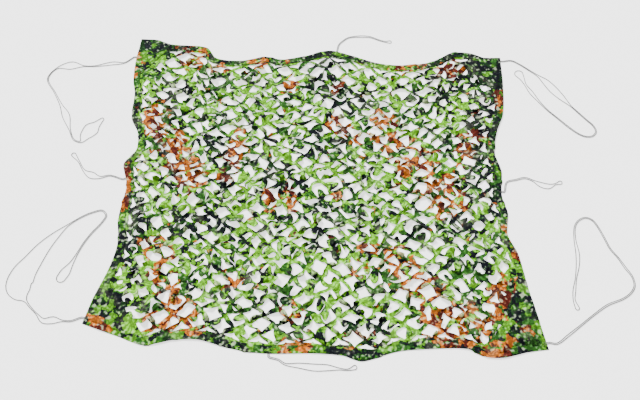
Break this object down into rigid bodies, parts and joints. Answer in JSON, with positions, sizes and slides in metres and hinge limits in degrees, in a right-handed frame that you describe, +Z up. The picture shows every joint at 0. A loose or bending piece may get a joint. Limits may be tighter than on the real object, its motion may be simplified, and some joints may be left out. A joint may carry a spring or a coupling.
{
  "type": "camouflage net",
  "caption": "Leaf-cut woodland camouflage net with bound edges, corner patches and doubled cord ties, spread out flat.",
  "frame": {"origin": "middle of the spread net without its ties, on the floor it lies on", "axes": "+X along the long side to the right, +Y to the far edge, +Z up"},
  "size_m": [2.8918, 1.8063, 0.0154],
  "materials": {
    "net_cloth": "printed woven polyester, matt",
    "binding_cloth": "printed woven polyester tape, matt",
    "patch_cloth": "printed woven polyester, matt",
    "cord": "twisted grey cord, matt"
  },
  "bodies": {
    "root": {"net_panel": "net_cloth", "binding_far": "binding_cloth", "binding_right": "binding_cloth", "binding_near": "binding_cloth", "binding_left": "binding_cloth", "patch_far_left": "patch_cloth", "patch_far_right": "patch_cloth", "patch_near_right": "patch_cloth", "patch_near_left": "patch_cloth", "tie_far_left": "cord", "tie_left": "cord", "tie_near_left": "cord", "tie_far_right": "cord", "tie_right": "cord", "tie_near_right": "cord", "tie_far": "cord", "tie_near": "cord"}
  },
  "joints": []
}
